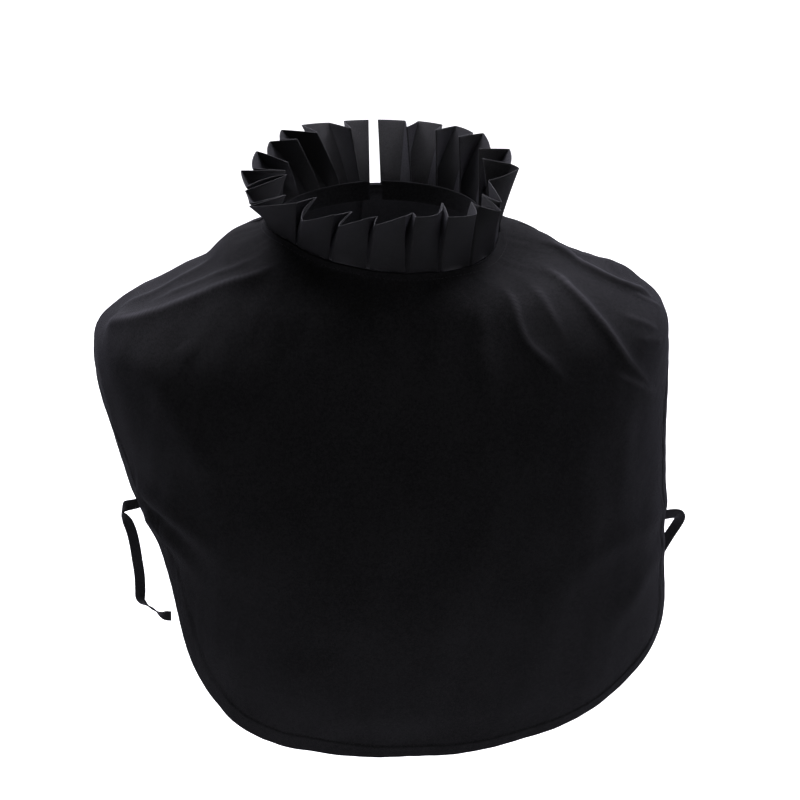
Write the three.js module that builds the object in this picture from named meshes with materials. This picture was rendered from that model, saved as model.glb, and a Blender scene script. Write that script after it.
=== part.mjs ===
// Detachable collar: a worn dickey with a standing ruffle in open pleats, a long front bib and a
// short open back. Millimetres, +Z up, front towards -Y. The origin is the middle of the neck seam.
// A bearing is an angle about the neck in degrees: 0 at the front, positive towards +X.
import * as THREE from 'three';

// Driving sizes
const CLOTH = 1.2; // wall of one layer of cloth
const HEM = 2.0; // wall of the turned hem
const HEM_WIDTH = 10.5; // how far the hem is turned in
const CLEAR = 0.35; // gap kept between neighbouring pieces
const SEAM = { side: 76, front: 66, back: 66 }; // plan of the neck seam
const STRIP = {
  wall: 0.8,
  stack: 4.6, // the pleats sewn flat at the seam, outside to inside
  fold: 0.8, // width of a pressed fold at the free edge
  turn: 0.9, // depth of an inner fold at the seam
  ease: 0.6, // depth of an outer fold at the seam
  gap: 0.9, // half the bearing left between two pleats at the seam
  under: 0.4, // share of a face behind which its inner fold is sewn
  flare: 1.2, // how late the strip leans out as it rises
  swell: 1.5, // how late it bows as it rises
};
const NECK_BLEND = 9; // how far down from the seam the cloth follows the neck
const FOLD_START = 25; // how far down from the seam the soft folds reach full height
const BAND = { wall: 1.1, above: 5, below: 9, end: 176, inset: 7.4 };
const BACK_WRAP = { over: 184, under: 187, drop: HEM + 2 * CLEAR, from: 162, full: 173 };
const TIE = { width: 7, wall: 1.1 };
const BUTTON = { radius: 5, thick: 2.4, dish: 0.7, bearing: 180, height: -13, off: 0.05 };
const BUTTON_EDGE = { foot: 0.9, low: 0.3, high: 0.7, rim: 0.85, well: 0.6, sides: 16 };

// Height of the neck seam round the neck
const SEAM_LINE = [
  { bearing: -180, z: 4 }, { bearing: -120, z: 2.5 }, { bearing: -90, z: 4 }, { bearing: -60, z: 5 },
  { bearing: -43, z: 0.5 }, { bearing: -13, z: -5 }, { bearing: 7, z: -8.5 }, { bearing: 38, z: -11.5 },
  { bearing: 60, z: -12.5 }, { bearing: 76, z: -9 }, { bearing: 90, z: -4 }, { bearing: 120, z: 1.5 },
  { bearing: 180, z: 4 },
];

// Level sections of the worn cloth: half widths to each side, depths, and how square they are
const SECTIONS = [
  { z: 20, left: 68, right: 68, front: 58, back: 58, square: 2.0, squareBack: 2.0 },
  { z: 8, left: 78, right: 76, front: 61, back: 64, square: 2.0, squareBack: 1.9 },
  { z: -2, left: 97, right: 93, front: 64, back: 70, square: 2.0, squareBack: 1.6 },
  { z: -9, left: 106, right: 106, front: 67, back: 75, square: 2.0, squareBack: 1.45 },
  { z: -20, left: 118, right: 122, front: 73, back: 82, square: 2.2, squareBack: 1.35 },
  { z: -32, left: 143, right: 150, front: 81, back: 88, square: 2.5, squareBack: 1.35 },
  { z: -46, left: 170, right: 175, front: 88, back: 93, square: 2.8, squareBack: 1.45 },
  { z: -60, left: 186, right: 187, front: 95, back: 97, square: 3.0, squareBack: 1.6 },
  { z: -75, left: 190, right: 189, front: 101, back: 100, square: 3.0, squareBack: 1.8 },
  { z: -100, left: 188.5, right: 189, front: 109, back: 104, square: 2.8, squareBack: 2.0 },
  { z: -135, left: 181, right: 190.5, front: 117, back: 106, square: 2.6, squareBack: 2.1 },
  { z: -175, left: 173, right: 193, front: 123, back: 107, square: 2.5, squareBack: 2.1 },
  { z: -215, left: 166, right: 196, front: 124, back: 106, square: 2.4, squareBack: 2.1 },
  { z: -265, left: 160, right: 200, front: 119, back: 105, square: 2.4, squareBack: 2.1 },
  { z: -305, left: 154, right: 196, front: 113, back: 104, square: 2.4, squareBack: 2.1 },
  { z: -350, left: 146, right: 186, front: 105, back: 102, square: 2.4, squareBack: 2.1 },
];

// Outer edge of the front bib from its left shoulder point round the hem to its right one. Each
// point is joined to the neck seam at the bearing "neck".
const FRONT_EDGE = [
  { bearing: -98, z: -70, neck: -98 }, { bearing: -91, z: -78, neck: -93 },
  { bearing: -84, z: -100, neck: -87 }, { bearing: -77, z: -125, neck: -80 },
  { bearing: -73, z: -160, neck: -72 }, { bearing: -66, z: -195, neck: -63 },
  { bearing: -63, z: -245, neck: -53 }, { bearing: -60, z: -290, neck: -43 },
  { bearing: -52, z: -319.5, neck: -35 }, { bearing: -40, z: -333, neck: -26 },
  { bearing: -22, z: -339, neck: -15 }, { bearing: 0, z: -342, neck: 0 },
  { bearing: 22, z: -342.5, neck: 14 }, { bearing: 40, z: -337, neck: 25 },
  { bearing: 54, z: -327.5, neck: 34 }, { bearing: 66, z: -308.5, neck: 42 },
  { bearing: 74, z: -281, neck: 50 }, { bearing: 75, z: -230, neck: 61 },
  { bearing: 76, z: -170, neck: 72 }, { bearing: 78, z: -120, neck: 81 },
  { bearing: 83, z: -92, neck: 88 }, { bearing: 90, z: -80, neck: 93 },
  { bearing: 98, z: -76, neck: 98 },
];

// Outer edge of each back half from the shoulder point to the centre back
const BACK_EDGE = [
  { bearing: 98.6, z: -73, neck: 98.6 }, { bearing: 107, z: -84, neck: 106 },
  { bearing: 118, z: -115, neck: 116 }, { bearing: 128, z: -160, neck: 127 },
  { bearing: 136, z: -205, neck: 138 }, { bearing: 146, z: -240, neck: 149 },
  { bearing: 160, z: -258, neck: 162 }, { bearing: 176, z: -264, neck: 176 },
];

// Soft folds: a ridge from one point to another, its half width and its height off the body
const FOLDS = [
  { from: [-62, -45, -4], to: [-178, -42, -44], wide: 13, high: 5 },
  { from: [66, -36, -18], to: [176, -44, -62], wide: 12, high: 5 },
  { from: [72, -20, -10], to: [172, -14, -50], wide: 9, high: 4 },
  { from: [70, -50, -32], to: [150, -82, -140], wide: 16, high: 5 },
  { from: [86, -10, -12], to: [168, -62, -100], wide: 14, high: 4 },
  { from: [-168, -58, -163], to: [-90, -108, -215], wide: 15, high: 5 },
  { from: [-176, -46, -118], to: [-118, -95, -190], wide: 18, high: 4 },
  { from: [178, -52, -176], to: [110, -98, -240], wide: 16, high: 3 },
  { from: [-20, -124, -190], to: [30, -122, -300], wide: 45, high: 3 },
];

// The ruffle's open pleats. "seam" holds the bearings at which a pleat's face begins and ends below.
// The corners of the face and the inner fold after it are places on the free edge: bearing, distance
// from the neck's axis and height. "bows" is how far the face, the wall behind its right corner and
// the wall on to the next pleat swell out of line.
const PLEATS = [
  {
    seam: [-177.5, -165.5], left: [-178, 88, 42], right: [-168, 92, 41],
    inner: [-166, 68, 44], bows: [0.6, 0.3, 0.3],
  },
  {
    seam: [-165.5, -153], left: [-161, 92, 41], right: [-149, 94, 42],
    inner: [-146, 70, 44], bows: [1.2, -0.8, 0.6],
  },
  {
    seam: [-153, -139], left: [-137, 91.5, 43.5], right: [-131, 85, 41],
    inner: [-131, 70, 44], bows: [0.8, 0.4, 0.2],
  },
  {
    seam: [-139, -122.5], left: [-125, 86.5, 41.5], right: [-114, 80, 39],
    inner: [-106, 62.5, 38], bows: [1, 0.5, 1.2],
  },
  {
    seam: [-122.5, -105.5], left: [-112, 86.5, 41], right: [-90, 83.5, 41],
    inner: [-86.5, 62.5, 40], bows: [1.6, 0.3, 0],
  },
  {
    seam: [-105.5, -89], left: [-89, 91, 40], right: [-75.5, 91, 36.5],
    inner: [-77, 63.5, 41], bows: [0.8, -5, -0.8],
  },
  {
    seam: [-89, -72.5], left: [-73.8, 92.6, 35], right: [-62, 98, 34],
    inner: [-61, 72.5, 35], bows: [-0.5, 0.6, 0],
  },
  {
    seam: [-72.5, -53], left: [-60.8, 99.5, 33], right: [-43.2, 85.5, 39.5],
    inner: [-42, 66.5, 38], bows: [2.4, -0.5, 5],
  },
  {
    seam: [-53, -32.7], left: [-36.5, 91, 31.6], right: [-25.5, 82.6, 35.6],
    inner: [-20.7, 65, 32.3], bows: [1.4, 0.8, 1.5],
  },
  {
    seam: [-32.7, -11.7], left: [-21.5, 88, 31], right: [-10.1, 78, 33.8],
    inner: [-6.4, 71.5, 32.4], bows: [0.4, 0, 0.6],
  },
  {
    seam: [-11.7, 9.5], left: [-6.9, 83.4, 31.3], right: [7.2, 70.5, 31.8],
    inner: [14, 62, 30], bows: [0.8, 0.5, -0.8],
  },
  {
    seam: [9.5, 28], left: [12.9, 72.8, 31.4], right: [30, 66.3, 30],
    inner: [37, 58, 31], bows: [5.5, 0.6, -0.6],
  },
  {
    seam: [28, 48.4], left: [29, 76.6, 29.2], right: [43.7, 80, 27.2],
    inner: [54, 67, 28.5], bows: [2.2, 1.2, 0.5],
  },
  {
    seam: [48.4, 69.5], left: [51.5, 74.5, 28.2], right: [57.2, 86, 24.5],
    inner: [70, 67, 27.5], bows: [1.5, 0.6, 1],
  },
  {
    seam: [69.5, 84], left: [61.5, 83, 28], right: [66.3, 80.1, 27.2],
    inner: [83, 69, 31.3], bows: [0.6, 0.4, 2.5],
  },
  {
    seam: [84, 100], left: [92, 89.8, 35], right: [95.5, 86.5, 35.8],
    inner: [103, 69, 38], bows: [0.6, 0.5, 0.6],
  },
  {
    seam: [100, 116], left: [99, 86.6, 34.5], right: [113.5, 95.5, 36],
    inner: [115, 73, 39.5], bows: [1.2, 0.6, 0.4],
  },
  {
    seam: [116, 132], left: [117, 84, 37.5], right: [129, 93, 40.5],
    inner: [130, 71, 43], bows: [1, 0.4, 0.6],
  },
  {
    seam: [132, 148], left: [132, 88, 41], right: [143, 92, 41],
    inner: [145, 70, 44], bows: [1.4, 0.5, 0.3],
  },
  {
    seam: [148, 164], left: [149, 90, 41], right: [160, 91, 41],
    inner: [162, 69, 44], bows: [0.9, -0.6, 0.5],
  },
  {
    seam: [164, 177.5], left: [166, 90, 41], right: [177.5, 88, 42],
    inner: [178, 80, 43], bows: [0.6, 0.3, 0.3],
  },
];

// Middle line of each tie from the bib's edge to its free end. "faces" is the bearing that the flat
// of the ribbon looks to.
const TIE_LEFT = [
  { x: -166.5, y: -54.6, z: -171, faces: 0 }, { x: -169.5, y: -54, z: -171.5, faces: -20 },
  { x: -173.5, y: -53, z: -173, faces: -70 }, { x: -175.5, y: -52.5, z: -176, faces: -85 },
  { x: -175.5, y: -54, z: -178.5, faces: -70 }, { x: -173.5, y: -56, z: -181, faces: -30 },
  { x: -172, y: -57, z: -184, faces: -8 }, { x: -170, y: -57.5, z: -191, faces: -5 },
  { x: -168.5, y: -58, z: -200.5, faces: -5 }, { x: -167.5, y: -58, z: -211, faces: -5 },
  { x: -166.5, y: -58, z: -222.5, faces: -5 }, { x: -166.5, y: -58.5, z: -233.5, faces: -10 },
  { x: -166.5, y: -59.5, z: -240, faces: -35 }, { x: -163, y: -60.5, z: -243.5, faces: -75 },
  { x: -158, y: -61.5, z: -247, faces: -85 }, { x: -152, y: -62.5, z: -251, faces: -55 },
  { x: -146.5, y: -63.5, z: -251.5, faces: -10 },
];
const TIE_RIGHT = [
  { x: 186.2, y: -46.9, z: -197.5, faces: 10 }, { x: 190, y: -45, z: -198, faces: 12 },
  { x: 194.5, y: -42.5, z: -199, faces: 12 },
  { x: 198.5, y: -40, z: -201, faces: 15 }, { x: 200, y: -37.5, z: -205, faces: 25 },
  { x: 198.5, y: -35, z: -211, faces: 20 }, { x: 195, y: -33, z: -219, faces: 12 },
  { x: 191.5, y: -30.5, z: -228, faces: 10 }, { x: 187.5, y: -28.5, z: -238.5, faces: 8 },
  { x: 184.5, y: -27.5, z: -249, faces: 5 }, { x: 183, y: -27, z: -261, faces: 5 },
  { x: 182.5, y: -27, z: -273, faces: 5 }, { x: 182.5, y: -27.5, z: -284.5, faces: 5 },
  { x: 183, y: -28, z: -295, faces: 5 },
];

const BLACK = 0x161619;
const rad = THREE.MathUtils.degToRad;
const group = new THREE.Group();

/** Smooth value of a column at x, in a table sorted by its key either way. */
function smooth(table, key, column, x) {
  const rows = table[0][key] < table.at(-1)[key] ? table : [...table].reverse();
  const n = rows.length;
  const at = THREE.MathUtils.clamp(x, rows[0][key], rows[n - 1][key]);
  let i = 0;
  while (i < n - 2 && rows[i + 1][key] < at) i += 1;
  const slope = (j) => {
    const a = Math.max(j - 1, 0);
    const b = Math.min(j + 1, n - 1);
    return (rows[b][column] - rows[a][column]) / (rows[b][key] - rows[a][key]);
  };
  const step = rows[i + 1][key] - rows[i][key];
  const t = (at - rows[i][key]) / step;
  const [p, q] = [rows[i][column], rows[i + 1][column]];
  const [m, k] = [slope(i) * step, slope(i + 1) * step];
  return (
    (2 * t ** 3 - 3 * t ** 2 + 1) * p + (t ** 3 - 2 * t ** 2 + t) * m
    + (3 * t ** 2 - 2 * t ** 3) * q + (t ** 3 - t ** 2) * k
  );
}

/** Bearing brought into -180 to 180. */
const wrap = (bearing) => ((((bearing + 180) % 360) + 360) % 360) - 180;

/** Point at a bearing and distance from the neck's axis. */
function polar(bearing, reach, z) {
  return new THREE.Vector3(reach * Math.sin(rad(bearing)), -reach * Math.cos(rad(bearing)), z);
}

/** Distance from the axis to an oval with the given half sizes. */
function ovalReach(bearing, side, ahead, square = 2) {
  const s = Math.abs(Math.sin(rad(bearing))) / side;
  const c = Math.abs(Math.cos(rad(bearing))) / ahead;
  return (s ** square + c ** square) ** (-1 / square);
}

/** Point of the worn cloth's surface. */
function bodyPoint(bearing, z) {
  const b = wrap(bearing);
  const side = smooth(SECTIONS, 'z', b < 0 ? 'left' : 'right', z);
  const [depth, square] = Math.abs(b) < 90 ? ['front', 'square'] : ['back', 'squareBack'];
  const ahead = smooth(SECTIONS, 'z', depth, z);
  return polar(b, ovalReach(b, side, ahead, smooth(SECTIONS, 'z', square, z)), z);
}

/** Point of the neck seam, moved in towards the axis by "inset". */
function seamPoint(bearing, inset = 0) {
  const b = wrap(bearing);
  const ahead = Math.abs(b) < 90 ? SEAM.front : SEAM.back;
  return polar(b, ovalReach(b, SEAM.side, ahead) - inset, smooth(SEAM_LINE, 'bearing', 'z', b));
}

/** Height of the soft folds at a point. */
function foldHeight(p) {
  let high = 0;
  for (const fold of FOLDS) {
    const a = new THREE.Vector3(...fold.from);
    const line = new THREE.Line3(a, new THREE.Vector3(...fold.to));
    const near = line.closestPointToPoint(p, true, new THREE.Vector3());
    const along = near.distanceTo(a) / line.distance();
    const taper = Math.sin(Math.PI * (0.12 + 0.76 * along));
    high += fold.high * taper * Math.exp(-((p.distanceTo(near) / fold.wide) ** 2));
  }
  return high;
}

/** Normals of a grid of points, grid[row][column]. */
function gridNormals(grid) {
  const at = (list, i) => list[THREE.MathUtils.clamp(i, 0, list.length - 1)];
  return grid.map((row, i) => row.map((_, j) => {
    const down = new THREE.Vector3().subVectors(at(grid, i + 1)[j], at(grid, i - 1)[j]);
    const across = new THREE.Vector3().subVectors(at(row, j + 1), at(row, j - 1));
    return across.cross(down).negate().normalize();
  }));
}

/** Closed solid between two grids of points of the same size. */
function shell(outer, inner) {
  const rows = outer.length;
  const cols = outer[0].length;
  const points = [...outer.flat(), ...inner.flat()];
  const id = (side, i, j) => side * rows * cols + i * cols + j;
  const faces = [];
  const quad = (a, b, c, d) => faces.push(a, b, c, a, c, d);
  for (let i = 0; i < rows - 1; i += 1) {
    for (let j = 0; j < cols - 1; j += 1) {
      quad(id(0, i, j), id(0, i + 1, j), id(0, i + 1, j + 1), id(0, i, j + 1));
      quad(id(1, i, j), id(1, i, j + 1), id(1, i + 1, j + 1), id(1, i + 1, j));
    }
    quad(id(0, i, 0), id(1, i, 0), id(1, i + 1, 0), id(0, i + 1, 0));
    quad(id(0, i, cols - 1), id(0, i + 1, cols - 1), id(1, i + 1, cols - 1), id(1, i, cols - 1));
  }
  for (let j = 0; j < cols - 1; j += 1) {
    quad(id(0, 0, j), id(0, 0, j + 1), id(1, 0, j + 1), id(1, 0, j));
    quad(id(0, rows - 1, j), id(1, rows - 1, j), id(1, rows - 1, j + 1), id(0, rows - 1, j + 1));
  }
  const geometry = new THREE.BufferGeometry().setFromPoints(points);
  geometry.setIndex(signedVolume(points, faces) < 0 ? faces.reverse() : faces);
  geometry.computeVertexNormals();
  return geometry;
}

/** Six times the volume that a list of triangles closes, negative when they face inwards. */
function signedVolume(points, faces) {
  let sum = 0;
  for (let i = 0; i < faces.length; i += 3) {
    const [a, b, c] = faces.slice(i, i + 3).map((k) => points[k]);
    sum += a.dot(b.clone().cross(c));
  }
  return sum;
}

/** Cloth wall laid round a grid of middle points; "wall" gives its thickness at a row. */
function cloth(grid, wall) {
  const normals = gridNormals(grid);
  const move = (side) => grid.map((row, i) => row.map(
    (p, j) => p.clone().addScaledVector(normals[i][j], side * wall(i) / 2),
  ));
  return shell(move(1), move(-1));
}

/** Adds a named piece to the collar. */
function addPiece(name, geometry, roughness = 0.85) {
  const material = new THREE.MeshStandardMaterial({ color: BLACK, roughness, metalness: 0 });
  const mesh = new THREE.Mesh(geometry, material);
  mesh.name = name;
  group.add(mesh);
}

/** Points evenly spaced along an edge table, as rows of the same columns. */
function walkEdge(edge, count) {
  const spot = (row) => bodyPoint(row.bearing, row.z);
  const lengths = [0];
  for (let i = 1; i < edge.length; i += 1) {
    lengths.push(lengths[i - 1] + spot(edge[i]).distanceTo(spot(edge[i - 1])));
  }
  const rows = edge.map((row, i) => ({ ...row, s: lengths[i] }));
  return Array.from({ length: count + 1 }, (_, i) => {
    const s = (lengths.at(-1) * i) / count;
    const [bearing, z, neck] = ['bearing', 'z', 'neck'].map((c) => smooth(rows, 's', c, s));
    return { bearing, z, neck };
  });
}

/** Grid of a bib panel from the neck seam down to its edge, with the last row pair its hem. */
function panelGrid(edge, columns, rows, offset = () => 0) {
  const fans = walkEdge(edge, columns).map((end) => {
    const top = seamPoint(end.neck);
    const drop = bodyPoint(end.bearing, end.z).distanceTo(top);
    const stops = Array.from({ length: rows }, (_, i) => (i / (rows - 1)) * (1 - HEM_WIDTH / drop));
    return [...stops, 1].map((v) => {
      const bearing = THREE.MathUtils.lerp(end.neck, end.bearing, v);
      const z = THREE.MathUtils.lerp(top.z, end.z, v);
      const p = bodyPoint(bearing, z);
      const seam = seamPoint(bearing);
      const near = Math.exp(-(((v * drop) / NECK_BLEND) ** 2));
      p.lerp(new THREE.Vector3(seam.x, seam.y, z), near);
      const out = new THREE.Vector3(p.x, p.y, 0).normalize();
      const lift = foldHeight(p) * Math.min(1, (v * drop) / FOLD_START) * (1 - near) + offset(bearing);
      return p.addScaledVector(out, lift);
    });
  });
  return fans[0].map((_, i) => fans.map((fan) => fan[i]));
}

/** Bib panel as a cloth wall, thicker at its hem. */
function panel(edge, columns, rows, offset) {
  const grid = panelGrid(edge, columns, rows, offset);
  return cloth(grid, (row) => (row >= rows - 1 ? HEM : CLOTH));
}

/** How far the under back half steps in, so that the over half can lie on it. */
function underStep(bearing) {
  const t = THREE.MathUtils.smoothstep(bearing, BACK_WRAP.from, BACK_WRAP.full);
  return -BACK_WRAP.drop * t;
}

/** Back edge table turned to one side and carried past the centre to "reach". */
function backEdge(side, reach) {
  const last = BACK_EDGE.at(-1);
  return [...BACK_EDGE, { ...last, bearing: reach, neck: reach }].map(
    (row) => ({ ...row, bearing: side * row.bearing, neck: side * row.neck }),
  );
}

/** Both sides of every fold of the pleated strip, at the seam and at the free edge. */
function pleatLine() {
  const line = [];
  PLEATS.forEach(({ seam, left, right, inner, bows }) => {
    const start = seam[0] + STRIP.gap;
    const end = seam[1] - STRIP.gap;
    const behind = THREE.MathUtils.lerp(end, start, STRIP.under);
    const side = (bearing, inset, [turn, reach, z], shift, bow = 0) => {
      const half = THREE.MathUtils.radToDeg(STRIP.fold / reach) / 2;
      line.push({ foot: seamPoint(bearing, inset), head: polar(turn + half * shift, reach, z), bow });
    };
    side(start, STRIP.ease, left, -1);
    side(start, 0, left, 1, bows[0]);
    side(end, 0, right, -1);
    side(end, STRIP.ease, right, 1, bows[1]);
    side(behind, STRIP.stack - STRIP.turn, inner, -1);
    side(behind, STRIP.stack, inner, 1, bows[2]);
  });
  return line.slice(0, -2);
}

/** Middle line of the strip at a share of its height, with a bowed point between two folds. */
function stripLevel(line, t) {
  const folds = line.map(({ foot, head }) => new THREE.Vector3(
    THREE.MathUtils.lerp(foot.x, head.x, t ** STRIP.flare),
    THREE.MathUtils.lerp(foot.y, head.y, t ** STRIP.flare),
    THREE.MathUtils.lerp(foot.z + CLOTH / 2 + CLEAR, head.z, t),
  ));
  return folds.flatMap((p, i) => {
    const next = folds[i + 1];
    if (i % 2 === 0 || !next) return [p];
    const out = new THREE.Vector3(next.y - p.y, p.x - next.x, 0).normalize();
    const middle = p.clone().lerp(next, 0.5);
    return [p, middle.addScaledVector(out, line[i].bow * t ** STRIP.swell)];
  });
}

/** Two plan lines beside a level line of points, half a wall to each side, with cut mitres. */
function thicken(points, wall) {
  return [1, -1].map((side) => points.map((p, i) => {
    const before = points[Math.max(i - 1, 0)];
    const after = points[Math.min(i + 1, points.length - 1)];
    const turn = (a, b) => new THREE.Vector2(b.y - a.y, a.x - b.x).normalize();
    const first = i > 0 ? turn(before, p) : turn(p, after);
    const second = i < points.length - 1 ? turn(p, after) : first;
    const mean = first.clone().add(second).normalize();
    const stretch = Math.min(1 / Math.max(mean.dot(first), 0.3), 1.4);
    const push = (side * wall * stretch) / 2;
    return new THREE.Vector3(p.x + mean.x * push, p.y + mean.y * push, p.z);
  }));
}

/** Pleated ruffle that stands on the neck seam and leans out. */
function ruffle(rows) {
  const line = pleatLine();
  const levels = Array.from({ length: rows + 1 }, (_, i) => stripLevel(line, i / rows));
  const sides = levels.map((level) => thicken(level, STRIP.wall));
  return shell(sides.map((s) => s[0]), sides.map((s) => s[1]));
}

/** Narrow band inside the foot of the ruffle. */
function neckBand(columns) {
  const lifts = [BAND.above, 0, -BAND.below];
  const grid = lifts.map((lift) => Array.from({ length: columns + 1 }, (_, i) => {
    const bearing = THREE.MathUtils.lerp(-BAND.end, BAND.end, i / columns);
    const p = seamPoint(bearing, BAND.inset);
    return p.setZ(p.z + lift);
  }));
  return cloth(grid, () => BAND.wall);
}

/** Flat ribbon along a table of middle points. */
function ribbon(table) {
  const middle = table.map((row) => new THREE.Vector3(row.x, row.y, row.z));
  const grid = middle.map((p, i) => {
    const along = new THREE.Vector3().subVectors(
      middle[Math.min(i + 1, middle.length - 1)], middle[Math.max(i - 1, 0)],
    ).normalize();
    const facing = polar(table[i].faces, 1, 0);
    const across = along.clone().cross(facing).normalize();
    return [-0.5, 0.5].map((side) => p.clone().addScaledVector(across, side * TIE.width));
  });
  return cloth(grid, () => TIE.wall);
}

/** Plain button seated on the over half at the centre back. */
function button() {
  const { radius, thick, dish } = BUTTON;
  const { foot, low, high, rim, well, sides } = BUTTON_EDGE;
  const profile = [
    [0, 0], [radius * foot, 0], [radius, thick * low], [radius, thick * high], [radius * rim, thick],
    [radius * well, thick - dish], [0, thick - dish],
  ].map(([r, h]) => new THREE.Vector2(r, h));
  const geometry = new THREE.LatheGeometry(profile, sides);
  const a = bodyPoint(BUTTON.bearing, BUTTON.height + 1);
  const b = bodyPoint(BUTTON.bearing, BUTTON.height - 1);
  const down = new THREE.Vector3().subVectors(b, a).normalize();
  const out = new THREE.Vector3(1, 0, 0).cross(down).normalize();
  if (out.y < 0) out.negate();
  const seat = bodyPoint(BUTTON.bearing, BUTTON.height).addScaledVector(out, BUTTON.off);
  geometry.applyQuaternion(
    new THREE.Quaternion().setFromUnitVectors(new THREE.Vector3(0, 1, 0), out),
  );
  geometry.translate(seat.x, seat.y, seat.z);
  return geometry;
}

addPiece('front_bib', panel(FRONT_EDGE, 56, 17));
addPiece('back_bib_left', panel(backEdge(-1, BACK_WRAP.over), 16, 12));
addPiece('back_bib_right', panel(backEdge(1, BACK_WRAP.under), 16, 12, underStep));
addPiece('ruffle', ruffle(5));
addPiece('neck_band', neckBand(48));
addPiece('tie_left', ribbon(TIE_LEFT));
addPiece('tie_right', ribbon(TIE_RIGHT));
addPiece('back_button', button(), 0.4);

export default group;
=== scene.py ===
"""Detachable collar: a black cloth bib with a pleated ruffle standing round the neck, as worn.

The tables below hold the real sizes in millimetres, in the frame of the part: +Z up, the front
towards -Y, the origin in the middle of the neck seam. A bearing is an angle about the neck in
degrees, 0 at the front and positive towards +X. Meshes are made in metres.
"""

from __future__ import annotations

import logging
import math
from dataclasses import dataclass, field, replace
from enum import Enum

import bmesh
import bpy
import numpy as np
from mathutils import Matrix, Vector


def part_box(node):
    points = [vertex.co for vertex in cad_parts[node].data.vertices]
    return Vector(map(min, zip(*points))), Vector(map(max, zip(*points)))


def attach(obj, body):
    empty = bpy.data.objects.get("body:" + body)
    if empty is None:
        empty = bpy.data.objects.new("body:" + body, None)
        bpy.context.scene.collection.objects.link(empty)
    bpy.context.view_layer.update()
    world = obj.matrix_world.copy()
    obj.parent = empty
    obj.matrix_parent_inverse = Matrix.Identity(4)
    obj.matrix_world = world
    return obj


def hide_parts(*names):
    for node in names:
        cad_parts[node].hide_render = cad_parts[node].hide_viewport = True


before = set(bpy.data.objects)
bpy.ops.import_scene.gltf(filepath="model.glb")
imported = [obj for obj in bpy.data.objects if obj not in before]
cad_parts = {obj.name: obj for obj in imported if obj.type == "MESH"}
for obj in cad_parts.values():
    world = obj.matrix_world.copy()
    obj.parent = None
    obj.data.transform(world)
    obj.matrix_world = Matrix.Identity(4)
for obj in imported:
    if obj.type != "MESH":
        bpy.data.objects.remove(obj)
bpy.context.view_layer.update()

LOG = logging.getLogger("collar")
MM = 0.001
BODY = "root"

Array = np.ndarray
Piece = bpy.types.Object
Socket = bpy.types.NodeSocket
Triple = tuple[float, float, float]
Face = tuple[int, ...]

# Neck seam and body of the worn cloth
SEAM_SIDE = 76.0
SEAM_AHEAD = 66.0
SEAM_ROWS = (
    (-180, 4), (-120, 2.5), (-90, 4), (-60, 5), (-43, 0.5), (-13, -5), (7, -8.5), (38, -11.5),
    (60, -12.5), (76, -9), (90, -4), (120, 1.5), (180, 4),
)
SECTION_COLUMNS = ("z", "left", "right", "front", "back", "square", "square_back")
SECTION_ROWS = (
    (-350, 146, 186, 105, 102, 2.4, 2.1), (-305, 154, 196, 113, 104, 2.4, 2.1),
    (-265, 160, 200, 119, 105, 2.4, 2.1), (-215, 166, 196, 124, 106, 2.4, 2.1),
    (-175, 173, 193, 123, 107, 2.5, 2.1), (-135, 181, 190.5, 117, 106, 2.6, 2.1),
    (-100, 188.5, 189, 109, 104, 2.8, 2.0), (-75, 190, 189, 101, 100, 3.0, 1.8),
    (-60, 186, 187, 95, 97, 3.0, 1.6), (-46, 170, 175, 88, 93, 2.8, 1.45),
    (-32, 143, 150, 81, 88, 2.5, 1.35), (-20, 118, 122, 73, 82, 2.2, 1.35),
    (-9, 106, 106, 67, 75, 2.0, 1.45), (-2, 97, 93, 64, 70, 2.0, 1.6),
    (8, 78, 76, 61, 64, 2.0, 1.9), (20, 68, 68, 58, 58, 2.0, 2.0),
)

# Outer edges: bearing and height of a point, and the bearing on the neck seam it is joined to
FRONT_EDGE = (
    (-98, -70, -98), (-91, -78, -93), (-84, -100, -87), (-77, -125, -80), (-73, -160, -72),
    (-66, -195, -63), (-63, -245, -53), (-60, -290, -43), (-52, -319.5, -35), (-40, -333, -26),
    (-22, -339, -15), (0, -342, 0), (22, -342.5, 14), (40, -337, 25), (54, -327.5, 34),
    (66, -308.5, 42), (74, -281, 50), (75, -230, 61), (76, -170, 72), (78, -120, 81),
    (83, -92, 88), (90, -80, 93), (98, -76, 98),
)
BACK_EDGE = (
    (98, -74, 98), (107, -84, 106), (118, -115, 116), (128, -160, 127), (136, -205, 138),
    (146, -240, 149), (160, -258, 162), (176, -264, 176),
)

# Bearings at which the over and the under half of the back end
OVER_END, UNDER_END = 184, 187

# Width and length of the front's and of a back half's flat pattern, in metres
FRONT_FLAT, BACK_FLAT = (0.47, 0.40), (0.205, 0.27)

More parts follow.
